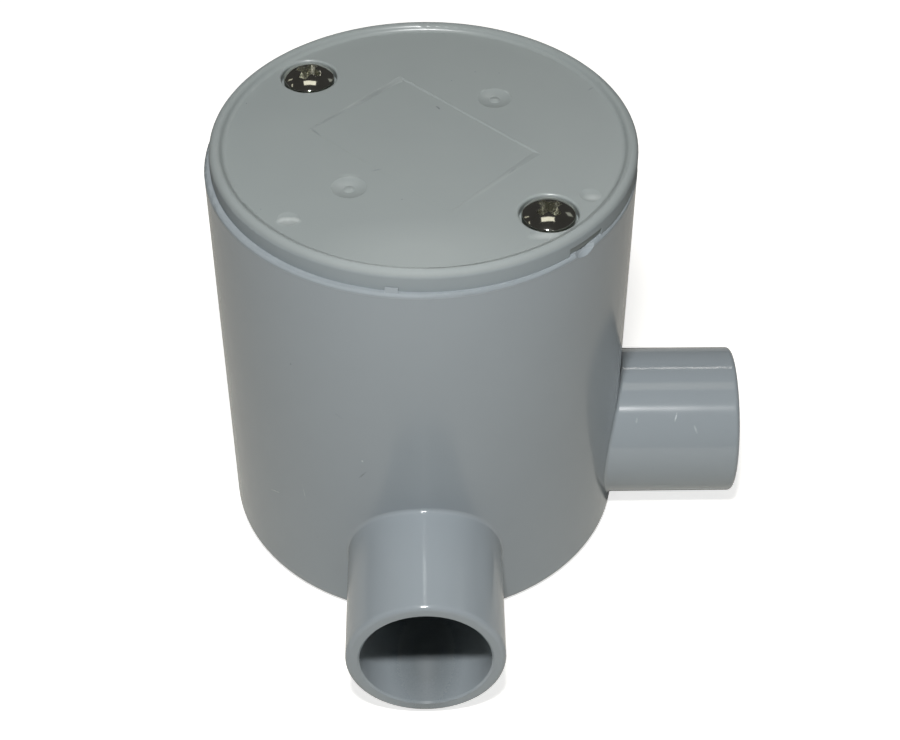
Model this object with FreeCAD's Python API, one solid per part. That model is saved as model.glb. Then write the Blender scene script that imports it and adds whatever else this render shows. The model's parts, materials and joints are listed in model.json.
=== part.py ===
import FreeCAD, Part
import math
import os

# Deep round junction box for 20 mm conduit: a moulded box with two spouts at right angles, a flat lid,
# two pan-head screws and the two threaded inserts, moulded into the box, that the screws go into.
# The origin is the middle of the base. +Z is up, one spout points along -Y and the other along +X.
# Lengths are in millimetres and angles in degrees, measured from +X towards +Y.

# Screw fixing, at the centres that conduit boxes share. As moulded, its middle and the lid's stand a little
# off the axis of the box's outer wall.
fixing_centres = 50.8
fixing_shift_x = 0.45
fixing_shift_y = 0.5
front_right_heading = -44.5
back_left_heading = 135.5
fixing_to_rim = 7.6
pillar_wall = 1.2
pillar_web_width = 7.2
pillar_drop = 0.3

# Box moulding, with a little draft so that it leaves its mould
box_height = 69.4
draft_width = 0.4
wall = 2.4
floor_thickness = 2.4
base_edge_radius = 2.0
rim_edge_radius = 0.5
rim_lead_in = 0.3
floor_corner_radius = 1.5

# Conduit spouts, with the socket's stop just outside the box's wall
front_spout_heading = -90.0
right_spout_heading = 0.0
socket_radius = 10.15
socket_depth = 18.5
spout_wall = 2.15
spout_length = 19.5
spout_floor_gap = 0.9
throat_step = 1.55
mouth_edge_radius = 0.8
mouth_lead_in = 0.3
spout_root_radius = 0.6

# Threaded inserts
insert_wall = 0.85
insert_length = 9.0
insert_waist_depth = 0.35
insert_waist_width = 1.4
insert_mouth_chamfer = 0.35
screw_running_gap = 0.05
tip_hole_margin = 2.5

# Pan-head screws, M4
screw_radius = 2.0
screw_length = 14.0
screw_tip_chamfer = 0.5
head_radius = 4.0
head_height = 2.7
head_crown_radius = 6.5
head_edge_radius = 0.35
recess_span = 4.3
recess_wing_width = 1.05
recess_floor_span = 1.7
recess_floor_width = 0.65
recess_depth = 2.0
front_right_recess_heading = 40.0
back_left_recess_heading = 65.0

# Lid moulding, with a round bead along its edge
lid_inset = 0.45
lid_thickness = 3.35
lid_edge_radius = 1.08
bead_flat_width = 0.02
bead_crest_radius = 0.75
bead_slope_width = 0.56
bead_step = 0.95
bead_foot_radius = 0.75
lid_seat_margin = 0.6
lid_hollow_depth = 0.7
lid_pad_margin = 2.0
hole_gap = 0.25
head_gap = 0.4
head_sink = 1.5
head_well_edge = 0.4
head_well_land = 0.02

# Marks that moulding leaves on the lid: two gate dimples, an insert panel that is deeper along one edge,
# and shallow sinks
gate_mark_distance = 15.85
gate_mark_radius = 2.65
gate_mark_depth = 0.4
gate_pip_radius = 0.95
gate_pip_height = 0.22
panel_length = 29.9
panel_width = 19.8
panel_depth = 0.14
panel_shallow_depth = 0.03
panel_slope_width = 0.3
panel_end_slope_width = 1.2
sink_radius = 1.6
sink_depth = 0.18
sink_places = ((27.1, -136.6), (28.0, -29.2), (28.1, -53.4))

# Lever slot: a notch under the lid's edge, deeper towards its foot, and a scoop in the rim below it
lever_heading = -44.0
lever_slot_width = 7.1
lever_slot_height = 1.3
lever_slot_step = 0.1
lever_slot_depth = 0.34
scoop_width = 5.2
scoop_drop = 1.1
scoop_slope = 40.0

# Trimmed gate scar on the rim in front of the lid, a wedge that slopes down outwards
scar_heading = -97.6
scar_width = 1.9
scar_height = 0.7
scar_crest = 0.1
scar_root = 0.7
scar_gap = 0.06

# How far a cutting tool passes through a face, and how close two sizes are that count as the same
overshoot = 1.0
same = 0.01

# Sizes that follow from those above
up = FreeCAD.Vector(0, 0, 1)
origin = FreeCAD.Vector(0, 0, 0)
quarter_turn = 90.0
fixing_headings = {"front_right": front_right_heading, "back_left": back_left_heading}
recess_headings = {"front_right": front_right_recess_heading, "back_left": back_left_recess_heading}
spout_headings = (front_spout_heading, right_spout_heading)
gate_mark_headings = [heading + quarter_turn for heading in fixing_headings.values()]
fixing_radius = fixing_centres / 2
rim_radius = fixing_radius + fixing_to_rim
base_radius = rim_radius - draft_width
spout_outer_radius = socket_radius + spout_wall
spout_height = spout_outer_radius + spout_floor_gap
spout_reach = rim_radius + spout_length
throat_radius = socket_radius - throat_step
fixing_middle = FreeCAD.Vector(fixing_shift_x, fixing_shift_y, 0)
lid_radius = rim_radius - lid_inset
lid_hole_radius = screw_radius + hole_gap
head_well_radius = head_radius + head_gap
lid_face = lid_thickness - bead_step
head_seat = lid_face - head_sink
pillar_top = box_height - pillar_drop
insert_bore_radius = screw_radius + screw_running_gap
insert_radius = insert_bore_radius + insert_wall
insert_waist_radius = insert_radius - insert_waist_depth
pillar_radius = insert_radius + pillar_wall
tip_hole_depth = screw_length - head_seat - pillar_drop + tip_hole_margin


def polar(radius, heading, height=0.0):
    angle = math.radians(heading)
    return FreeCAD.Vector(radius * math.cos(angle), radius * math.sin(angle), height)


# Point at a height on the axis of one lid screw
def fixing_spot(heading, height):
    return polar(fixing_radius, heading, height) + fixing_middle


# Inside radius of the box's wall at a height
def inner_wall(height):
    return base_radius + draft_width * height / box_height - wall


# Closed section in the XZ plane from (radius, height, rounding) corners, each rounded by a tangent arc
def rounded_section(corners):
    spots = [FreeCAD.Vector(radius, 0, height) for radius, height, rounding in corners]
    entries, exits, arcs = [], [], []
    for i, spot in enumerate(spots):
        rounding = corners[i][2]
        to_last = (spots[i - 1] - spot).normalize()
        to_next = (spots[(i + 1) % len(spots)] - spot).normalize()
        half_turn = to_last.getAngle(to_next) / 2
        run = rounding / math.tan(half_turn)
        entries.append(spot + to_last * run)
        exits.append(spot + to_next * run)
        if rounding > 0:
            bisector = (to_last + to_next).normalize()
            middle = spot + bisector * (rounding / math.sin(half_turn) - rounding)
            arcs.append(Part.Arc(entries[i], middle, exits[i]).toShape())
        else:
            arcs.append(None)
    edges = []
    for i, arc in enumerate(arcs):
        if arc:
            edges.append(arc)
        edges.append(Part.LineSegment(exits[i], entries[(i + 1) % len(spots)]).toShape())
    return Part.Face(Part.Wire(edges))


# Solid of revolution about Z
def turned(corners):
    return rounded_section(corners).revolve(origin, up, 360)


# Turns a solid modelled along +Z so that it points along a level heading at the given height
def aimed(shape, heading, height):
    aim = FreeCAD.Rotation(up, polar(1, heading))
    shape.Placement = FreeCAD.Placement(FreeCAD.Vector(0, 0, height), aim)
    return shape


# Block centred on a level heading, from one radius to another
def radial_block(heading, inner, outer, width, bottom, top):
    block = Part.makeBox(outer - inner, width, top - bottom, FreeCAD.Vector(inner, -width / 2, bottom))
    block.rotate(origin, up, heading)
    return block


def outer_form():
    return turned([
        (0, 0, 0),
        (base_radius, 0, base_edge_radius),
        (rim_radius, box_height, rim_edge_radius),
        (0, box_height, 0),
    ])


def spout_form(heading):
    spout = turned([
        (0, 0, 0),
        (spout_outer_radius, 0, 0),
        (spout_outer_radius, spout_reach, mouth_edge_radius),
        (0, spout_reach, 0),
    ])
    return aimed(spout, heading, spout_height)


# Socket for the conduit, the stop at its end, and the narrower throat into the box
def socket_form(heading):
    stop = spout_reach - socket_depth
    socket = turned([
        (0, 0, 0),
        (throat_radius, 0, 0),
        (throat_radius, stop, 0),
        (socket_radius, stop, 0),
        (socket_radius, spout_reach - mouth_lead_in, 0),
        (socket_radius + mouth_lead_in + overshoot, spout_reach + overshoot, 0),
        (0, spout_reach + overshoot, 0),
    ])
    return aimed(socket, heading, spout_height)


# Edges where the spouts leave the box's wall
def spout_roots(body):
    roots = []
    for edge in body.Edges:
        middle = edge.valueAt((edge.FirstParameter + edge.LastParameter) / 2)
        for heading in spout_headings:
            along = middle.dot(polar(1, heading))
            beside = middle - polar(along, heading, spout_height)
            on_spout = abs(beside.Length - spout_outer_radius) < same
            if on_spout and 0 < along < rim_radius + spout_root_radius:
                roots.append(edge)
    return roots


def cavity_form():
    lead_in_foot = box_height - rim_lead_in
    return turned([
        (0, floor_thickness, 0),
        (inner_wall(floor_thickness), floor_thickness, floor_corner_radius),
        (inner_wall(lead_in_foot), lead_in_foot, 0),
        (inner_wall(lead_in_foot) + rim_lead_in + overshoot, box_height + overshoot, 0),
        (0, box_height + overshoot, 0),
    ])


# Pillar for one lid screw: a round boss and the web that joins it to the wall, from the floor up
def pillar_form(heading):
    foot = floor_thickness / 2
    height = pillar_top - foot
    boss = Part.makeCylinder(pillar_radius, height, fixing_spot(heading, foot))
    web_end = base_radius - wall / 2
    web = radial_block(heading, fixing_radius, web_end, pillar_web_width, foot, pillar_top)
    web.translate(fixing_middle)
    return boss.fuse(web).removeSplitter()


# Outside of a threaded insert, two bands with a waist between them that locks it in the plastic
def insert_form(heading):
    waist_top = (insert_length + insert_waist_width) / 2
    waist_bottom = (insert_length - insert_waist_width) / 2
    form = turned([
        (0, 0, 0),
        (insert_radius, 0, 0),
        (insert_radius, waist_bottom, 0),
        (insert_waist_radius, waist_bottom, 0),
        (insert_waist_radius, waist_top, 0),
        (insert_radius, waist_top, 0),
        (insert_radius, insert_length, 0),
        (0, insert_length, 0),
    ])
    form.translate(fixing_spot(heading, pillar_top - insert_length))
    return form


# Hollow scoop that slopes out and down through the rim, for a screwdriver blade
def scoop_form():
    radius = (scoop_width ** 2 / 4 + scoop_drop ** 2) / (2 * scoop_drop)
    slope = math.radians(scoop_slope)
    across = radius * math.sin(slope)
    above = radius * math.cos(slope)
    along = polar(math.cos(slope), lever_heading, -math.sin(slope))
    middle = polar(rim_radius + across, lever_heading, box_height - scoop_drop + above)
    reach = wall + radius
    return Part.makeCylinder(radius, 2 * reach, middle - along * reach, along)


# Stub left where the moulding was cut from its gate, between the lid's edge and the rim's
def scar_form():
    inner = lid_radius + fixing_middle.dot(polar(1, scar_heading)) + scar_gap
    outer = rim_radius - rim_edge_radius
    outline = [
        FreeCAD.Vector(inner, -scar_width / 2, box_height - scar_root),
        FreeCAD.Vector(outer, -scar_width / 2, box_height - scar_root),
        FreeCAD.Vector(outer, -scar_width / 2, box_height),
        FreeCAD.Vector(inner + scar_crest, -scar_width / 2, box_height + scar_height),
        FreeCAD.Vector(inner, -scar_width / 2, box_height + scar_height),
    ]
    section = Part.Face(Part.makePolygon(outline + outline[:1]))
    wedge = section.extrude(FreeCAD.Vector(0, scar_width, 0))
    wedge.rotate(origin, up, scar_heading)
    return wedge


def make_box():
    body = outer_form()
    for heading in spout_headings:
        body = body.fuse(spout_form(heading))
    body = body.makeFillet(spout_root_radius, spout_roots(body))
    body = body.cut(cavity_form())
    for heading in fixing_headings.values():
        body = body.fuse(pillar_form(heading))
    for heading in spout_headings:
        body = body.cut(socket_form(heading))
    for heading in fixing_headings.values():
        tip_hole = Part.makeCylinder(insert_bore_radius, tip_hole_depth,
                                     fixing_spot(heading, pillar_top - tip_hole_depth))
        body = body.cut(insert_form(heading)).cut(tip_hole)
    return body.cut(scoop_form()).fuse(scar_form()).removeSplitter()


def make_insert(heading):
    bore = turned([
        (0, -overshoot, 0),
        (insert_bore_radius, -overshoot, 0),
        (insert_bore_radius, insert_length - insert_mouth_chamfer, 0),
        (insert_bore_radius + insert_mouth_chamfer + overshoot, insert_length + overshoot, 0),
        (0, insert_length + overshoot, 0),
    ])
    bore.translate(fixing_spot(heading, pillar_top - insert_length))
    return insert_form(heading).cut(bore)


# Corners of the four-winged cross recess at one height
def cross_corners(span, width, height):
    reach = span / 2
    half = width / 2
    wing = [(reach, -half), (reach, half), (half, half)]
    corners = []
    for quarter in range(4):
        turn = FreeCAD.Rotation(up, quarter_turn * quarter)
        corners += [turn.multVec(FreeCAD.Vector(x, y, height)) for x, y in wing]
    return corners


# Tapered solid with flat sides between two outlines of matching corners
def tapered(bottom, top):
    faces = [Part.Face(Part.makePolygon(outline + outline[:1])) for outline in (bottom, top)]
    for i in range(len(bottom)):
        side = [bottom[i - 1], bottom[i], top[i], top[i - 1], bottom[i - 1]]
        faces.append(Part.Face(Part.makePolygon(side)))
    return Part.Solid(Part.Shell(faces))


# Cross recess of a screw, cut from above the head's crown down to its floor
def recess_form():
    rise = overshoot / recess_depth
    floor = cross_corners(recess_floor_span, recess_floor_width, head_height - recess_depth)
    mouth = cross_corners(recess_span + rise * (recess_span - recess_floor_span),
                          recess_wing_width + rise * (recess_wing_width - recess_floor_width),
                          head_height + overshoot)
    return tapered(floor, mouth)


def make_screw(place):
    head = Part.makeCylinder(head_radius, head_height)
    crown = Part.makeSphere(head_crown_radius, FreeCAD.Vector(0, 0, head_height - head_crown_radius))
    head = head.common(crown)
    crown_edges = [edge for edge in head.Edges if edge.Closed and edge.BoundBox.ZMin > same]
    head = head.makeFillet(head_edge_radius, crown_edges)
    shank = turned([
        (0, -screw_length, 0),
        (screw_radius - screw_tip_chamfer, -screw_length, 0),
        (screw_radius, screw_tip_chamfer - screw_length, 0),
        (screw_radius, 0, 0),
        (0, 0, 0),
    ])
    screw = head.fuse(shank).cut(recess_form()).removeSplitter()
    screw.rotate(origin, up, recess_headings[place])
    screw.translate(fixing_spot(fixing_headings[place], box_height + head_seat))
    return screw


# Stepped hole in the lid for a screw, with a rounded edge at the face
def screw_well(heading):
    hole = turned([
        (0, -overshoot, 0),
        (lid_hole_radius, -overshoot, 0),
        (lid_hole_radius, head_seat, 0),
        (head_well_radius, head_seat, 0),
        (head_well_radius, lid_face, head_well_edge),
        (head_well_radius + head_well_edge + head_well_land, lid_face, 0),
        (head_well_radius + head_well_edge + head_well_land, lid_thickness + overshoot, 0),
        (0, lid_thickness + overshoot, 0),
    ])
    hole.translate(polar(fixing_radius, heading))
    return hole


# Flat pad under the lid around one screw hole, down to the level of the lid's seat
def lid_pad(heading):
    pad = Part.makeCylinder(head_well_radius + lid_pad_margin, head_seat, polar(fixing_radius, heading))
    return pad.common(Part.makeCylinder(lid_radius - lid_edge_radius, head_seat))


# Radius of the ball whose cap has the given radius and depth
def ball_radius(cap_radius, cap_depth):
    return (cap_radius ** 2 + cap_depth ** 2) / (2 * cap_depth)


# Shallow dimple in the lid's face
def dimple(radius, depth, distance, heading):
    ball = ball_radius(radius, depth)
    below = Part.makeCylinder(radius + overshoot, depth + overshoot,
                              polar(distance, heading, lid_face - depth - overshoot))
    return Part.makeSphere(ball, polar(distance, heading, lid_face - depth + ball)).common(below)


# Dimple left by a gate, with a low pip of plastic in its middle
def gate_mark(heading):
    ball = ball_radius(gate_pip_radius, gate_pip_height)
    pip_top = lid_face - gate_mark_depth + gate_pip_height
    pip = Part.makeSphere(ball, polar(gate_mark_distance, heading, pip_top - ball))
    return dimple(gate_mark_radius, gate_mark_depth, gate_mark_distance, heading).cut(pip)


# Notch under the lid's edge for a screwdriver blade, with a back that slopes in towards the foot
def lever_slot():
    section = rounded_section([
        (lid_radius - lever_slot_depth, 0, 0),
        (lid_radius - lever_slot_depth, -overshoot, 0),
        (lid_radius + overshoot, -overshoot, 0),
        (lid_radius + overshoot, lever_slot_height, 0),
        (lid_radius - lever_slot_step, lever_slot_height, 0),
    ])
    sweep = math.degrees(lever_slot_width / lid_radius)
    slot = section.revolve(origin, up, sweep)
    slot.rotate(origin, up, lever_heading - sweep / 2)
    return slot


# Shallow flat where a changeable block of the mould met the face, tilted so that one long edge is deeper,
# with short edges that fade out over a longer slope
def insert_panel():
    slant = panel_slope_width / panel_depth
    end_slant = panel_end_slope_width / panel_depth

    def corner(x_side, y_side, depth):
        reach_x = panel_length / 2 - depth * end_slant
        reach_y = panel_width / 2 - depth * slant
        return FreeCAD.Vector(x_side * reach_x, y_side * reach_y, lid_face - depth)

    sides = [(-1, -1), (1, -1), (1, 1), (-1, 1)]
    depths = {-1: panel_shallow_depth, 1: panel_depth}
    floor = [corner(x_side, y_side, depths[y_side]) for x_side, y_side in sides]
    mouth = [corner(x_side, y_side, -overshoot) for x_side, y_side in sides]
    panel = tapered(floor, mouth)
    panel.rotate(origin, up, front_right_heading)
    return panel


def make_lid():
    bead_slope = math.atan2(bead_step, bead_slope_width)
    crest_run = bead_crest_radius * math.tan(bead_slope / 2)
    bead_inner = lid_radius - lid_edge_radius - bead_flat_width - crest_run
    hollow_radius = inner_wall(box_height) - fixing_middle.Length - lid_seat_margin
    lid = turned([
        (0, lid_hollow_depth, 0),
        (hollow_radius, lid_hollow_depth, 0),
        (hollow_radius, 0, 0),
        (lid_radius, 0, 0),
        (lid_radius, lid_thickness, lid_edge_radius),
        (bead_inner, lid_thickness, bead_crest_radius),
        (bead_inner - bead_slope_width, lid_face, bead_foot_radius),
        (0, lid_face, 0),
    ])
    for heading in fixing_headings.values():
        lid = lid.fuse(lid_pad(heading))
    for heading in fixing_headings.values():
        lid = lid.cut(screw_well(heading))
    for heading in gate_mark_headings:
        lid = lid.cut(gate_mark(heading))
    for distance, heading in sink_places:
        lid = lid.cut(dimple(sink_radius, sink_depth, distance, heading))
    lid = lid.cut(insert_panel()).cut(lever_slot()).removeSplitter()
    lid.translate(fixing_middle + up * box_height)
    return lid


def save(shape, node):
    solid = shape.Solids[0] if len(shape.Solids) == 1 else shape
    print(f"{node}: {len(shape.Solids)} solid, valid {shape.isValid()}, {shape.Volume:.1f} mm3")
    solid.exportStep(f"parts/{node}.step")


def main():
    os.makedirs("parts", exist_ok=True)
    save(make_box(), "box")
    save(make_lid(), "lid")
    for place, heading in fixing_headings.items():
        save(make_insert(heading), f"insert_{place}")
        save(make_screw(place), f"screw_{place}")


main()
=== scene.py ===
import json
import math

import bmesh
import bpy
from mathutils import Matrix, Vector


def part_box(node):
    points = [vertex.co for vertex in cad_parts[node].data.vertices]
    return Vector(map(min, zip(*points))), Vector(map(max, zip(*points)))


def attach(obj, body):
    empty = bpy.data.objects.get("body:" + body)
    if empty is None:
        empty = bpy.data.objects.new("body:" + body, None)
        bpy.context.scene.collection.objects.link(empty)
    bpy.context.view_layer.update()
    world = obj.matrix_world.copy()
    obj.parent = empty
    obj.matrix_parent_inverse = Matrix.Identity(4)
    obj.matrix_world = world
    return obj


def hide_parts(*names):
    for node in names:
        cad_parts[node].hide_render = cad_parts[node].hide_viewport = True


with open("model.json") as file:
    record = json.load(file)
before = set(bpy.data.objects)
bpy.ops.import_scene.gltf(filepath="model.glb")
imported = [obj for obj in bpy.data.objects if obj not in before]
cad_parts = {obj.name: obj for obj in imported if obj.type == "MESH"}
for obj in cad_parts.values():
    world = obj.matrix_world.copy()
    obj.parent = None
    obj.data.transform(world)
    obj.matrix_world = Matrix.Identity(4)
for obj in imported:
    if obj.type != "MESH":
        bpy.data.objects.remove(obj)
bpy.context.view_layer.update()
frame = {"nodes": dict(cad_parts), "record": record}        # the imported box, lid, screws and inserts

mm = 0.001
turn = 2 * math.pi
places = ("front_right", "back_left")    # of the screws, and of the inserts under them
mounts = {mount["name"]: mount for mount in frame["record"]["mounts"]}
conduitSocket = mounts["conduit_socket_front"]
spoutAxisHeight = conduitSocket["pos_m"][2]
lidLow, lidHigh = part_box("lid")


def linear(hexColour):   # an sRGB hex colour as the linear values that shaders take
    parts = [int(hexColour[i:i + 2], 16) / 255 for i in (1, 3, 5)]
    return [c / 12.92 if c <= 0.04045 else ((c + 0.055) / 1.055) ** 2.4 for c in parts] + [1.0]


def perMm(size):         # a texture's scale for features of this many millimetres
    return 1 / (size * mm)


# Sockets go by name or number. A colour Mix has its share in 0, its colours in 6 and 7, and gives output 2.
def addNode(tree, kind, sockets=None, **settings):
    made = tree.nodes.new("ShaderNode" + kind)
    for name, value in settings.items():
        setattr(made, name, value)
    for name, value in (sockets or {}).items():
        if isinstance(value, bpy.types.NodeSocket):
            tree.links.new(value, made.inputs[name])
        else:
            made.inputs[name].default_value = value
    return made


def newMaterial(name):
    material = bpy.data.materials.new(name)
    material.use_nodes = True
    tree = material.node_tree
    tree.nodes.clear()
    return material, tree, addNode(tree, "TexCoord").outputs["Object"]


def closeMaterial(tree, shader):
    addNode(tree, "OutputMaterial", {"Surface": shader.outputs["BSDF"]})


def dress(obj, material):
    obj.data.materials.clear()
    obj.data.materials.append(material)


def addObject(name, data):
    obj = bpy.data.objects.new(name, data)
    bpy.context.collection.objects.link(obj)
    return obj


def standAt(obj, place, aim):     # mm: where a camera or a light stands, and what it faces
    spot = Vector(place) * mm
    obj.location = spot
    obj.rotation_euler = (Vector(aim) * mm - spot).to_track_quat("-Z", "Y").to_euler()


# Camera, where the photograph was taken from
cameraLook = dict(
    place=(0.942, -243.22, 248.39), aim=(4.43, 0, 25.084),     # mm
    lens=78.73, sensor=36.0,                                   # mm
    nearest=10.0,                                              # mm, what the camera can still see
)


def placeCamera(look):
    data = bpy.data.cameras.new("camera")
    data.lens = look["lens"]
    data.sensor_width = look["sensor"]
    data.clip_start = look["nearest"] * mm
    camera = addObject("camera", data)
    standAt(camera, look["place"], look["aim"])
    bpy.context.scene.camera = camera


placeCamera(cameraLook)
print("camera placed")


# Rigid PVC, injection moulded in a polished steel tool. The eye gets an even grey with a clear gloss,
# drawn out along each turned form by the polishing marks that run round it, a faint flow cloud,
# a little orange peel, and scuffs from handling.
# Some strokes are painted light: painted highlights in the lid's dimples, along its panel and the front
# spout's ridge, a paler lid front and skirt, and painted shade in the bore and along the panel.
beadStep = 0.95                       # mm, from the crest of the lid's bead down to its flat face
lidFace = lidHigh.z / mm - beadStep   # mm up


# strokes on the plastic: real scuffs, and the painted highlights and painted shade listed with them
def scuffAndPaintedLight(start, end, width, colour, strength, ragged=0.9):     # mm: two ends and a width
    return dict(ends=(start, end), width=width, colour=colour, strength=strength, ragged=ragged)


def lidScuffAndPaintedLight(start, end, width, colour, strength, ragged=0.9):
    return scuffAndPaintedLight((*start, lidFace), (*end, lidFace), width, colour, strength, ragged)


def paintedLight(start, end, width, strength):     # painted light: a pale stroke on the lid's face for a highlight, and for the paler front
    return lidScuffAndPaintedLight(start, end, width, "#B4BAB9", strength, ragged=0.2)


boxLook = dict(
    darkCloud="#90989D", lightCloud="#969EA3",
    cloud=19.0,                       # mm, flow clouds
    peel=1.7, peelHeight=0.0022,      # mm, orange peel
    swell=15.0, swellHeight=0.014,    # mm, slow waves of a cooled wall
    gloss=(0.13, 0.18), patch=6.0,    # roughness and the mm size of its patches
    stretch=0.8,                      # how far polishing marks draw out a highlight
    zones=[                           # mm up: the rim's top, trimmed duller and a little darker
        dict(along=(0, 0, 1), start=68.8, end=69.0, dull=0.7, colour="#7E8588", share=0.45),
    ],
    speckSpacing=5.0, speckSize=0.11, speckShare=0.3, speckColour="#6F757A",    # mm, and the share of cells
    marks=[
        # dark scrapes on the front wall, pale scratches to the left of them, and two flecks
        scuffAndPaintedLight((-13.24, -29.95, 44.06), (-11.91, -30.51, 43.33), 0.28, "#5F666A", 0.85),
        scuffAndPaintedLight((-10.02, -31.18, 31.34), (-8.89, -31.52, 32.98), 0.3, "#5F666A", 0.9),
        scuffAndPaintedLight((-25.01, -21.14, 18.72), (-23.24, -23.07, 19.78), 0.32, "#AEB6BA", 0.6),
        scuffAndPaintedLight((-19.29, -26.47, 25.29), (-18.7, -26.89, 20.93), 0.16, "#AEB6BA", 0.5),
        scuffAndPaintedLight((-18.7, -26.89, 20.93), (-17.87, -27.45, 17.8), 0.14, "#AEB6BA", 0.5),
        scuffAndPaintedLight((-9.44, -31.36, 35.32), (-9.3, -31.4, 35.12), 0.25, "#C0C8CC", 0.8),
        scuffAndPaintedLight((-17.38, -27.76, 14.37), (-17.2, -27.87, 14.27), 0.25, "#555B5F", 0.8),
        # nicks on the right spout
        scuffAndPaintedLight((41.96, -8.16, 22.4), (41.61, -9.1, 21.47), 0.3, "#D3DADD", 0.6),
        scuffAndPaintedLight((44.76, -9.56, 20.94), (45.27, -10.35, 19.85), 0.45, "#C4CBCE", 0.35),
        scuffAndPaintedLight((35.31, -8.72, 21.88), (35.2, -9.3, 21.2), 0.4, "#C4CBCE", 0.3),
        # a painted highlight along the front spout's ridge, and painted shade on the floor of its bore
        scuffAndPaintedLight((-0.1, -39.0, 25.5), (0, -53.5, 25.5), 0.75, "#B8C0C4", 0.25, ragged=0.15),
        scuffAndPaintedLight((0, -37.0, 3.05), (0, -50.5, 3.05), 13.0, "#6A7174", 0.85, ragged=0.3),
    ],
)
lidLook = dict(
    darkCloud="#8C9393", lightCloud="#929998",
    cloud=16.0,
    peel=1.5, peelHeight=0.0026,
    swell=13.0, swellHeight=0.012,
    gloss=(0.28, 0.34), patch=5.0,
    stretch=0.0,
    zones=[                           # mm out: the bead that hands rub duller, a little darker, and below it the skirt, painted paler and bluer as painted light
        dict(along=(1, 1, 0), start=31.2, end=31.7, dull=0.46, colour="#7E8588", share=0.15),
        dict(along=(1, 1, 0), start=32.4, end=32.9, dull=0.0, colour="#929EA9", share=1.0),
    ],
    speckSpacing=4.0, speckSize=0.1, speckShare=0.3, speckColour="#70777A",
    marks=[
        # a dark scrape and fainter rubs
        lidScuffAndPaintedLight((2.5, 9.83), (2.95, 9.23), 0.55, "#4A4F51", 0.9),
        lidScuffAndPaintedLight((-16.93, 4.32), (-15.2, 2.13), 0.5, "#757C7D", 0.6),
        lidScuffAndPaintedLight((26.34, 13.74), (27.04, 14.44), 0.45, "#757C7D", 0.6),
        lidScuffAndPaintedLight((13.02, -7.9), (14.22, -6.3), 0.5, "#757C7D", 0.5),
        lidScuffAndPaintedLight((-7.29, -6.85), (-5.96, -6.37), 0.4, "#757C7D", 0.5),
        # painted highlights in the three sinks, the first a bright arc behind it
        paintedLight((-20.59, -18.79), (-20.01, -18.12), 1.1, 0.75),
        paintedLight((-20.01, -18.12), (-18.5, -18.1), 1.3, 0.85),
        paintedLight((-18.5, -18.1), (-17.73, -18.71), 1.1, 0.75),
        paintedLight((-20.25, -19.0), (-18.38, -19.0), 2.0, 0.4),
        paintedLight((24.56, -13.65), (25.66, -13.66), 2.0, 0.7),
        paintedLight((16.07, -22.78), (19.3, -22.4), 2.1, 0.65),
        # painted highlights in the two gate dimples
        paintedLight((-11.89, -7.89), (-9.51, -8.05), 1.2, 0.2),
        paintedLight((-11.69, -9.86), (-9.92, -9.88), 2.2, 0.2),
        paintedLight((9.36, 13.55), (10.29, 14.33), 0.5, 0.35),
        paintedLight((13.34, 13.85), (13.86, 13.02), 0.6, 0.35),
        paintedLight((10.77, 11.73), (12.4, 11.65), 0.8, 0.25),
        # a painted highlight along one edge of the panel, and painted light paling the lid's front
        paintedLight((16.5, -4.3), (4.5, -16.5), 1.0, 0.2),
        paintedLight((-9.0, -27.0), (7.0, -27.0), 18.0, 0.18),
        # painted shade along the panel's opposite edge, dimming its reflection
        lidScuffAndPaintedLight((-3.6, 16.8), (-11.4, 9.1), 1.15, "#777D7D", 0.6, ragged=0.3),
        lidScuffAndPaintedLight((-10.2, 10.4), (-17.5, 3.4), 0.65, "#777D7D", 0.6, ragged=0.3),
    ],
)
pvcIor = 1.54
markGrain = 0.3          # mm, the grit that breaks up a mark's edge
markDull = 0.35          # added roughness in a mark
markFade = 0.7           # share of a mark's half width over which it fades
spoutClear = 2.3          # mm from the socket's bore to just past the spout's outer wall


def polishingDirection(tree, coords, spoutRadius):   # along the axis of the form that a point belongs to
    shares = []
    for along, across in (((1, 0, 0), (0, 1, 1)), ((0, -1, 0), (1, 0, 1))):
        flat = addNode(tree, "VectorMath", {0: coords, 1: across}, operation="MULTIPLY")
        offset = addNode(tree, "VectorMath", {
            0: flat.outputs[0], 1: (0, 0, spoutAxisHeight),
        }, operation="DISTANCE")
        near = addNode(tree, "Math", {
            0: offset.outputs["Value"], 1: spoutRadius * mm,
        }, operation="LESS_THAN")
        reach = addNode(tree, "VectorMath", {0: coords, 1: along}, operation="DOT_PRODUCT")
        out = addNode(tree, "Math", {
            0: reach.outputs["Value"], 1: spoutRadius * mm,
        }, operation="GREATER_THAN")
        share = addNode(tree, "Math", {0: near.outputs[0], 1: out.outputs[0]}, operation="MULTIPLY")
        shares.append(share.outputs[0])
    both = addNode(tree, "Math", {0: shares[0], 1: shares[1]}, operation="ADD")
    body = addNode(tree, "Math", {0: 1.0, 1: both.outputs[0]}, operation="SUBTRACT")
    return addNode(tree, "CombineXYZ", {"X": shares[0], "Y": shares[1], "Z": body.outputs[0]}).outputs[0]


def speckMask(tree, coords, look):        # 1 on dust and dark grains in the plastic, each in its own cell
    cells = addNode(tree, "TexVoronoi", {"Vector": coords, "Scale": perMm(look["speckSpacing"])})
    grain = addNode(tree, "Math", {
        0: cells.outputs["Distance"], 1: look["speckSize"] / look["speckSpacing"],
    }, operation="LESS_THAN")
    pick = addNode(tree, "SeparateColor", {0: cells.outputs["Color"]})
    chosen = addNode(tree, "Math", {0: pick.outputs[0], 1: look["speckShare"]}, operation="LESS_THAN")
    speck = addNode(tree, "Math", {0: grain.outputs[0], 1: chosen.outputs[0]}, operation="MULTIPLY")
    return speck.outputs[0]


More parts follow.
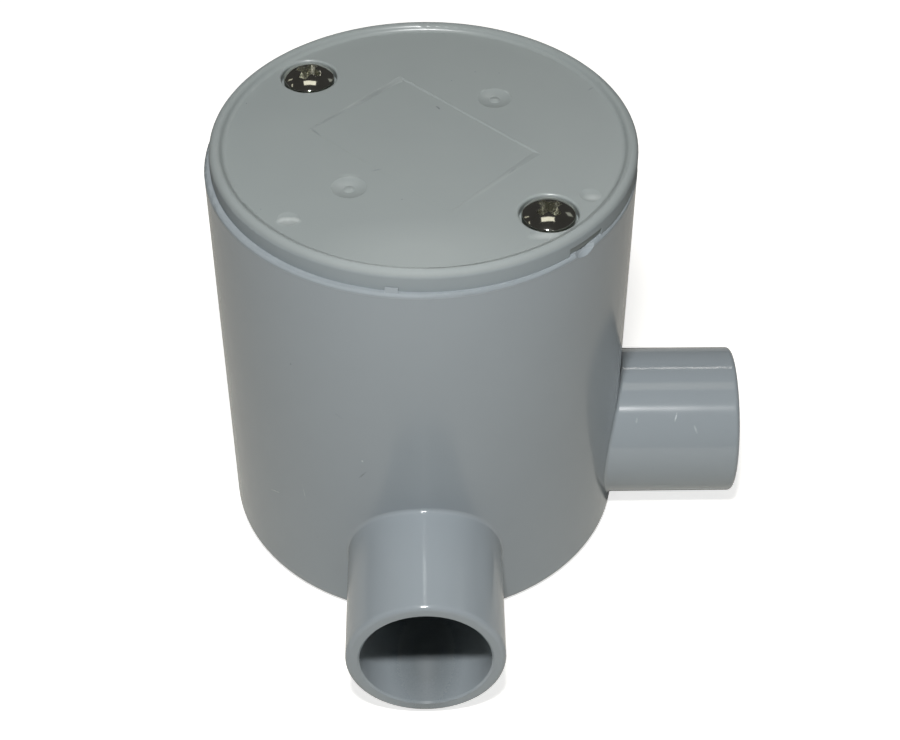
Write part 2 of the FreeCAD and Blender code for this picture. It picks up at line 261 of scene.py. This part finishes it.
def markMask(tree, coords, mark, grit):   # a mark's strength inside it, scuff or painted light, broken up along its edge
    start, end = (Vector(spot) * mm for spot in mark["ends"])
    along = end - start
    across = mark["width"] * mm / 2
    local = addNode(tree, "Mapping", {
        "Vector": coords,
        "Location": (start + end) / 2,
        "Rotation": along.to_track_quat("X", "Z").to_euler(),
        "Scale": (along.length / 2 + across, across, across),
    }, vector_type="TEXTURE")
    distance = addNode(tree, "VectorMath", {0: local.outputs[0]}, operation="LENGTH")
    ragged = addNode(tree, "Math", {
        0: grit, 1: mark["ragged"], 2: distance.outputs["Value"],
    }, operation="MULTIPLY_ADD")
    edge = 1 + mark["ragged"] / 2
    return addNode(tree, "MapRange", {
        "Value": ragged.outputs[0], "From Min": edge, "From Max": edge - markFade,
        "To Min": 0.0, "To Max": mark["strength"],
    }).outputs["Result"]


def zoneMask(tree, fromFoot, zone):       # 1 past the end of a zone's slope
    measured = addNode(tree, "VectorMath", {0: fromFoot, 1: zone["along"]}, operation="MULTIPLY")
    reach = addNode(tree, "VectorMath", {0: measured.outputs[0]}, operation="LENGTH")
    return addNode(tree, "MapRange", {
        "Value": reach.outputs["Value"], "From Min": zone["start"] * mm, "From Max": zone["end"] * mm,
    }).outputs["Result"]


def mouldedRelief(tree, coords, look):    # orange peel on slow waves
    swell = addNode(tree, "TexNoise", {"Vector": coords, "Scale": perMm(look["swell"]), "Detail": 0.0})
    peel = addNode(tree, "TexNoise", {"Vector": coords, "Scale": perMm(look["peel"]), "Detail": 1.0})
    slow = addNode(tree, "Bump", {"Height": swell.outputs[0], "Distance": look["swellHeight"] * mm})
    return addNode(tree, "Bump", {
        "Height": peel.outputs[0], "Distance": look["peelHeight"] * mm, "Normal": slow.outputs[0],
    }).outputs[0]


def mouldedPvc(name, look, axisFoot, spoutRadius=None):
    material, tree, coords = newMaterial(name)
    cloud = addNode(tree, "TexNoise", {"Vector": coords, "Scale": perMm(look["cloud"]), "Detail": 3.0})
    colour = addNode(tree, "Mix", {
        0: cloud.outputs[0], 6: linear(look["darkCloud"]), 7: linear(look["lightCloud"]),
    }, data_type="RGBA").outputs[2]
    patch = addNode(tree, "TexNoise", {"Vector": coords, "Scale": perMm(look["patch"]), "Detail": 4.0})
    smooth, dull = look["gloss"]
    gloss = addNode(tree, "MapRange", {"Value": patch.outputs[0], "To Min": smooth, "To Max": dull})
    layers = [(speckMask(tree, coords, look), look["speckColour"])]

    # marks: scuffs from handling, with painted highlights and painted shade among them
    grit = addNode(tree, "TexNoise", {"Vector": coords, "Scale": perMm(markGrain), "Detail": 2.0})
    marked = 0.0
    for mark in look["marks"]:
        mask = markMask(tree, coords, mark, grit.outputs[0])
        layers.append((mask, mark["colour"]))
        marked = addNode(tree, "Math", {0: marked, 1: mask}, operation="MAXIMUM").outputs[0]
    roughness = addNode(tree, "Math", {
        0: marked, 1: markDull, 2: gloss.outputs[0],
    }, operation="MULTIPLY_ADD").outputs[0]

    # zones: the box's rim and the lid's bead, duller and a little darker, and painted light on the lid's
    # skirt
    fromFoot = addNode(tree, "VectorMath", {0: coords, 1: axisFoot}, operation="SUBTRACT").outputs[0]
    for zone in look["zones"]:
        inside = zoneMask(tree, fromFoot, zone)
        tinted = addNode(tree, "Math", {0: inside, 1: zone["share"]}, operation="MULTIPLY")
        layers.append((tinted.outputs[0], zone["colour"]))
        roughness = addNode(tree, "Math", {
            0: inside, 1: zone["dull"], 2: roughness,
        }, operation="MULTIPLY_ADD").outputs[0]

    for mask, tint in layers:             # each lies over those before it
        colour = addNode(tree, "Mix", {0: mask, 6: colour, 7: linear(tint)}, data_type="RGBA").outputs[2]
    sockets = {
        "Base Color": colour, "Roughness": roughness, "IOR": pvcIor,
        "Normal": mouldedRelief(tree, coords, look), "Anisotropic": look["stretch"],
    }
    if spoutRadius:
        sockets["Tangent"] = polishingDirection(tree, coords, spoutRadius)
    closeMaterial(tree, addNode(tree, "BsdfPrincipled", sockets))
    return material


spoutRadius = conduitSocket["dims"]["r_mm"] + spoutClear
lidFoot = ((lidLow.x + lidHigh.x) / 2, (lidLow.y + lidHigh.y) / 2, 0)
dress(frame["nodes"]["box"], mouldedPvc("moulded_pvc_box", boxLook, (0, 0, 0), spoutRadius))
dress(frame["nodes"]["lid"], mouldedPvc("moulded_pvc_lid", lidLook, lidFoot))
print("box and lid dressed in moulded PVC")


# Lid screws: M4 pan heads with a cross recess, cold headed, thread rolled
screwLook = dict(
    length=14.0, shankRadius=2.0,                                    # mm
    headHeight=2.7, crownRadius=6.5, headEdge=0.35, footEdge=0.12,
    neckLength=0.9, neckRadius=1.76, neckFillet=0.24, tipChamfer=0.5,
    pitch=0.7, threadDepth=0.4, crestShare=0.125, rootShare=0.75,    # mm, and shares of the pitch
    recessSpan=4.7, recessWing=1.2, recessFloorSpan=1.8, recessFloorWing=0.7, recessDepth=2.0,
    recessHeart=1.35, recessEdge=0.16,      # how far the wings' roots open out, and the mouth's rounding
    punchAbove=0.4, softenFrom=68, sharpFrom=32,                     # mm, and degrees between faces
    headings={"front_right": 40, "back_left": 65},                   # degrees
    columns=96, rowsPerTurn=14, edgeRows=6, crownRows=18, recessEdgeRows=3,
)


def threadRadius(angle, height, crest, look):    # a thread of about 60 degrees, along a helix
    phase = (height / look["pitch"] - angle / turn) % 1
    fromCrest = abs(2 * phase - 1)
    sink = (fromCrest - look["crestShare"]) / (look["rootShare"] - look["crestShare"])
    return crest - look["threadDepth"] * min(max(sink, 0), 1)


# Rings of points: a row is a height and a radius at each angle
def turnedShape(rows, columns, looped=False):
    shape = bmesh.new()
    angles = [turn * i / columns for i in range(columns)]
    rings = []
    for height, radiusAt in rows:
        ring = []
        for angle in angles:
            radius = radiusAt(angle)
            ring.append(shape.verts.new((radius * math.cos(angle), radius * math.sin(angle), height)))
        rings.append(ring)
    following = rings[1:] + rings[:1] if looped else rings[1:]
    for low, high in zip(rings, following):
        for i in range(columns):
            j = (i + 1) % columns
            shape.faces.new((low[i], low[j], high[j], high[i]))
    if not looped:
        shape.faces.new(reversed(rings[0]))
        shape.faces.new(rings[-1])
    return shape


def plain(radius):
    return lambda angle: radius


def shankRows(look):
    tip = -look["length"]
    threadTop = -look["neckLength"]
    fullThread = threadTop - look["pitch"]
    shankRadius = look["shankRadius"]

    def shankAt(height):
        chamfered = shankRadius - look["tipChamfer"] + (height - tip)
        runOut = look["neckRadius"] + max(threadTop - height, 0) * look["threadDepth"] / look["pitch"]
        largest = chamfered if height < fullThread else min(chamfered, runOut)
        return lambda angle: min(threadRadius(angle, height, shankRadius, look), largest)

    steps = math.ceil((threadTop - tip) / look["pitch"] * look["rowsPerTurn"])
    heights = [tip + (threadTop - tip) * i / steps for i in range(steps + 1)]
    return [(height, shankAt(height)) for height in heights]


def headRows(look, headRadius):
    neck = look["neckRadius"]
    fillet = look["neckFillet"]
    foot = look["footEdge"]
    rows = [(-fillet, plain(neck)), (0, plain(neck + fillet))]
    rows += [(0, plain(headRadius - foot)), (foot, plain(headRadius))]
    crown = look["crownRadius"]
    crownCentre = look["headHeight"] - crown
    edge = look["headEdge"]
    edgeRadius = headRadius - edge
    edgeHeight = crownCentre + math.sqrt((crown - edge) ** 2 - edgeRadius ** 2)
    lean = math.atan2(edgeRadius, edgeHeight - crownCentre)   # from upright, where the edge meets the crown
    for i in range(look["edgeRows"] + 1):
        rise = (turn / 4 - lean) * i / look["edgeRows"]
        rows.append((edgeHeight + edge * math.sin(rise), plain(edgeRadius + edge * math.cos(rise))))
    for i in range(1, look["crownRows"]):
        slope = lean * (1 - i / look["crownRows"])
        rows.append((crownCentre + crown * math.cos(slope), plain(crown * math.sin(slope))))
    return rows


def crossCorners(span, wing, heart):
    root = wing / 2 * heart
    corners = []
    for quarter in range(4):
        spin = Matrix.Rotation(turn / 4 * quarter, 2)
        for corner in ((span / 2, -wing / 2), (span / 2, wing / 2), (root, root)):
            corners.append(spin @ Vector(corner))
    return corners


def recessShape(look):    # the punch that forms the recess, wider towards the top
    share = (look["recessDepth"] + look["punchAbove"]) / look["recessDepth"]
    topSpan = look["recessFloorSpan"] + (look["recessSpan"] - look["recessFloorSpan"]) * share
    topWing = look["recessFloorWing"] + (look["recessWing"] - look["recessFloorWing"]) * share
    floorHeight = look["headHeight"] - look["recessDepth"]
    topHeight = look["headHeight"] + look["punchAbove"]
    pointDepth = look["recessFloorWing"] / 3
    heart = look["recessHeart"]
    shape = bmesh.new()
    floorCorners = crossCorners(look["recessFloorSpan"], look["recessFloorWing"], heart)
    low = [shape.verts.new((*corner, floorHeight)) for corner in floorCorners]
    high = [shape.verts.new((*corner, topHeight)) for corner in crossCorners(topSpan, topWing, heart)]
    point = shape.verts.new((0, 0, floorHeight - pointDepth))
    count = len(low)
    for i in range(count):
        j = (i + 1) % count
        shape.faces.new((low[i], low[j], high[j], high[i]))
        shape.faces.new((low[j], low[i], point))
    shape.faces.new(high)
    return shape


def meshObject(name, shape):
    bmesh.ops.recalc_face_normals(shape, faces=shape.faces)
    data = bpy.data.meshes.new(name)
    shape.to_mesh(data)
    shape.free()
    return addObject(name, data)


def settle(obj):          # the modifiers' result becomes the mesh
    made = bpy.data.meshes.new_from_object(obj.evaluated_get(bpy.context.evaluated_depsgraph_get()))
    obj.modifiers.clear()
    obj.data = made


def shadeSmooth(data, sharpFrom):
    data.polygons.foreach_set("use_smooth", [True] * len(data.polygons))
    data.set_sharp_from_angle(angle=math.radians(sharpFrom))


# From millimetres about the middle of a screw's bearing face to its place in the part
def screwFrame(look, place):
    low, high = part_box("screw_" + place)
    middle = (low + high) / 2
    bearing = Vector((middle.x, middle.y, low.z + look["length"] * mm))
    heading = Matrix.Rotation(math.radians(look["headings"][place]), 4, "Z")
    return Matrix.Translation(bearing) @ heading @ Matrix.Scale(mm, 4)


def makeScrew(look, place, finishes):
    node = "screw_" + place
    low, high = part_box(node)
    headRadius = (high.x - low.x) / 2 / mm
    rows = shankRows(look) + headRows(look, headRadius)
    screw = meshObject(node + "_threaded", turnedShape(rows, look["columns"]))
    punch = meshObject("punch", recessShape(look))
    for obj in (screw, punch):
        for finish in finishes.values():
            obj.data.materials.append(finish)
    order = list(finishes)
    punch.data.polygons.foreach_set("material_index", [order.index("recess")] * len(punch.data.polygons))
    cut = screw.modifiers.new("recess", "BOOLEAN")
    cut.object = punch
    cut.operation = "DIFFERENCE"
    cut.solver = "EXACT"
    settle(screw)
    bpy.data.objects.remove(punch)
    softened = screw.modifiers.new("recess_edge", "BEVEL")
    softened.width = look["recessEdge"]
    softened.segments = look["recessEdgeRows"]
    softened.material = order.index("edge")
    softened.limit_method = "ANGLE"
    softened.angle_limit = math.radians(look["softenFrom"])
    settle(screw)
    screw.data.transform(screwFrame(look, place))
    shadeSmooth(screw.data, look["sharpFrom"])
    return screw


# A metal in two tones and two grades of gloss, shared out by a pattern, with a relief in mm
def closeMetal(tree, look, pattern, height, relief):
    colour = addNode(tree, "Mix", {
        0: pattern, 6: linear(look["colour"]), 7: linear(look["stain"]),
    }, data_type="RGBA")
    smooth, dull = look["gloss"]
    gloss = addNode(tree, "MapRange", {"Value": pattern, "To Min": smooth, "To Max": dull})
    bump = addNode(tree, "Bump", {"Height": height, "Distance": relief * mm})
    closeMaterial(tree, addNode(tree, "BsdfPrincipled", {
        "Base Color": colour.outputs[2], "Metallic": 1.0,
        "Roughness": gloss.outputs[0], "Normal": bump.outputs[0],
    }))


# Steel, cold headed and bright nickel plated in a barrel. The eye gets a dark mirror, close to neutral,
# broken by the small dents that screws give each other in the barrel.
nickelLook = dict(
    colour="#CECEC8", stain="#B0B0A4",
    dent=0.55, dentHeight=0.006,      # mm, drawn a little coarser than real barrel marks so that they show
    haze=1.4,                         # mm, patches of thinner plate
    gloss=(0.05, 0.11),
)


def nickelPlate(look):
    material, tree, coords = newMaterial("barrel_nickel_plated_steel")
    haze = addNode(tree, "TexNoise", {"Vector": coords, "Scale": perMm(look["haze"]), "Detail": 5.0})
    dents = addNode(tree, "TexVoronoi", {
        "Vector": coords, "Scale": perMm(look["dent"]),
    }, feature="SMOOTH_F1")
    closeMetal(tree, look, haze.outputs[0], dents.outputs["Distance"], look["dentHeight"])
    return material


# The same steel where a punch and then drivers have rubbed it bare. The eye gets a nicked cross, olive grey
# with old grease, and a bright broken line round its mouth.
recessLook = dict(
    colour="#C8C8BC", stain="#585848",
    nick=0.28, nickHeight=0.09,       # mm
    gloss=(0.12, 0.45),
)
edgeLook = dict(
    colour="#F2F0E8", stain="#9A9786",
    nick=0.22, nickHeight=0.08,       # mm
    gloss=(0.2, 0.5),
)


def rubbedSteel(name, look):
    material, tree, coords = newMaterial(name)
    nicks = addNode(tree, "TexNoise", {"Vector": coords, "Scale": perMm(look["nick"]), "Detail": 3.0})
    closeMetal(tree, look, nicks.outputs[0], nicks.outputs[0], look["nickHeight"])
    return material


screwFinishes = dict(
    head=nickelPlate(nickelLook),
    recess=rubbedSteel("greasy_punched_steel", recessLook),
    edge=rubbedSteel("driver_rubbed_steel", edgeLook),
)
for place in places:
    screw = makeScrew(screwLook, place, screwFinishes)
    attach(screw, "screw_" + place)
    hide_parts("screw_" + place)
print("lid screws cut with recess and thread")


# Threaded inserts: turned and knurled, with a waist that locks them in the plastic
insertLook = dict(
    waistDepth=0.35, waistWidth=1.4, endChamfer=0.15, mouthChamfer=0.35,   # mm
    knurlCount=30, knurlDepth=0.12,
    threadGap=0.05,                   # mm between the insert's thread and the screw's
    columns=120, rowsPerTurn=12, sharpFrom=32,
)


def makeInsert(look, screw, place):
    node = "insert_" + place
    low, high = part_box(node)
    bearing = screwFrame(screw, place).translation.z
    foot = (low.z - bearing) / mm
    top = (high.z - bearing) / mm
    outer = (high.x - low.x) / 2 / mm
    bore = screw["shankRadius"] + look["threadGap"]
    middle = (foot + top) / 2
    waist = look["waistWidth"] / 2
    narrow = plain(outer - look["waistDepth"])
    chamfer = look["endChamfer"]

    def knurled(sink):
        def radiusAt(angle):
            wave = 0.5 - 0.5 * math.cos(angle * look["knurlCount"])
            return outer - sink - look["knurlDepth"] * wave
        return radiusAt

    def threaded(height):
        mouth = max(height - (top - look["mouthChamfer"]), 0)
        return lambda angle: max(threadRadius(angle, height, bore, screw), bore + mouth if mouth else 0)

    rows = [
        (foot, knurled(chamfer)), (foot + chamfer, knurled(0)),
        (middle - waist, knurled(0)), (middle - waist, narrow),
        (middle + waist, narrow), (middle + waist, knurled(0)),
        (top - chamfer, knurled(0)), (top, knurled(chamfer)),
    ]
    steps = math.ceil((top - foot) / screw["pitch"] * look["rowsPerTurn"])
    heights = [top + (foot - top) * i / steps for i in range(steps + 1)]
    rows += [(height, threaded(height)) for height in heights]
    insert = meshObject(node + "_knurled", turnedShape(rows, look["columns"], looped=True))
    insert.data.transform(screwFrame(screw, place))
    shadeSmooth(insert.data, look["sharpFrom"])
    return insert


# Free-cutting brass, turned from bar. The eye gets a warm yellow metal with fine rings left by the tool.
brassLook = dict(
    colour="#D9B46C", stain="#B48C4A",
    haze=1.1,                         # mm, tarnish
    ring=0.09, ringHeight=0.0015,     # mm, tool marks, drawn coarser than real so that they show
    gloss=(0.2, 0.34),
)


def turnedBrass(look, centre):
    material, tree, coords = newMaterial("turned_brass")
    haze = addNode(tree, "TexNoise", {"Vector": coords, "Scale": perMm(look["haze"]), "Detail": 5.0})
    fromAxis = addNode(tree, "VectorMath", {0: coords, 1: centre}, operation="SUBTRACT")
    level = addNode(tree, "VectorMath", {0: fromAxis.outputs[0], 1: (1, 1, 0)}, operation="MULTIPLY")
    rings = addNode(tree, "VectorMath", {0: level.outputs[0]}, operation="LENGTH")
    wave = addNode(tree, "Math", {
        0: rings.outputs["Value"], 1: turn * perMm(look["ring"]),
    }, operation="MULTIPLY")
    crests = addNode(tree, "Math", {0: wave.outputs[0]}, operation="SINE")
    closeMetal(tree, look, haze.outputs[0], crests.outputs[0], look["ringHeight"])
    return material


for place in places:
    insert = makeInsert(insertLook, screwLook, place)
    dress(insert, turnedBrass(brassLook, screwFrame(screwLook, place).translation))
    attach(insert, "box")
    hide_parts("insert_" + place)
print("brass inserts turned, knurled and threaded")


# Uncoated white paper under the box. The eye gets an even, pale, matt floor.
floorLook = dict(
    size=4.0, tooth=0.8,                  # m and mm
    light="#DFDDD6", shade="#DBD9D2",
    lift=0.75,                            # burnt out to near white where the camera sees it
    roughness=0.9,
)


def paperFloor(look):
    shape = bmesh.new()
    half = look["size"] / 2
    corners = ((-1, -1), (1, -1), (1, 1), (-1, 1))
    shape.faces.new([shape.verts.new((x * half, y * half, 0)) for x, y in corners])
    floor = meshObject("paper_floor", shape)
    material, tree, coords = newMaterial("matt_white_paper")
    tooth = addNode(tree, "TexNoise", {"Vector": coords, "Scale": perMm(look["tooth"]), "Detail": 3.0})
    colour = addNode(tree, "Mix", {
        0: tooth.outputs[0], 6: linear(look["shade"]), 7: linear(look["light"]),
    }, data_type="RGBA")
    seen = addNode(tree, "LightPath").outputs["Is Camera Ray"]
    glow = addNode(tree, "Math", {0: seen, 1: look["lift"]}, operation="MULTIPLY")
    closeMaterial(tree, addNode(tree, "BsdfPrincipled", {
        "Base Color": colour.outputs[2], "Roughness": look["roughness"],
        "Emission Color": (1.0, 1.0, 1.0, 1.0), "Emission Strength": glow.outputs[0],
    }))
    dress(floor, material)


paperFloor(floorLook)


# Light, in mm and watts: a small flash over the camera, a soft panel overhead, one high and one low panel
# behind, and three dim ceiling lamps that show only as glints in the screws
lightLook = dict(
    flash=dict(place=(-8, -180.5, 323.4), aim=(0, 0, 40), width=36, height=25, power=1.09, colour="#FFFFFF"),
    overhead=dict(place=(0, 100, 870), aim=(0, 0, 70), width=430, height=190, power=0.34, colour="#FFFBEC"),
    behind=dict(place=(150, 600, 670), aim=(0, 0, 40), width=120, height=30, power=0.11, colour="#FFFAF4"),
    low=dict(place=(-60, 500, 38), aim=(0, 0, 38), width=100, height=64, power=0.5, colour="#FFFFFF"),
    left=dict(place=(-690, 180, 770), aim=(0, 0, 70), width=150, height=60, power=0.028, colour="#FFFBE8"),
    farLeft=dict(place=(-640, 530, 620), aim=(0, 0, 70), width=60, height=200, power=0.03, colour="#FFFBE8"),
    right=dict(place=(650, 580, 560), aim=(0, 0, 70), width=170, height=220, power=0.045, colour="#F6FAF0"),
)
worldLook = dict(dim="#434241", shown="#F8F9F9")


def placeLight(name, look):
    data = bpy.data.lights.new(name, "AREA")
    data.shape = "RECTANGLE"
    data.size = look["width"] * mm
    data.size_y = look["height"] * mm
    data.energy = look["power"]
    data.color = linear(look["colour"])[:3]
    light = addObject(name, data)
    standAt(light, look["place"], look["aim"])
    light.visible_camera = False


def roomLight(look):      # dim all round, and pale where the camera looks past the floor
    world = bpy.data.worlds.new("room")
    world.use_nodes = True
    tree = world.node_tree
    tree.nodes.clear()
    seen = addNode(tree, "LightPath").outputs["Is Camera Ray"]
    colour = addNode(tree, "Mix", {
        0: seen, 6: linear(look["dim"]), 7: linear(look["shown"]),
    }, data_type="RGBA")
    background = addNode(tree, "Background", {"Color": colour.outputs[2]})
    addNode(tree, "OutputWorld", {"Surface": background.outputs[0]})
    bpy.context.scene.world = world


for name, look in lightLook.items():
    placeLight(name, look)
roomLight(worldLook)
bpy.context.scene.view_settings.view_transform = "Standard"
print("floor and lights set")
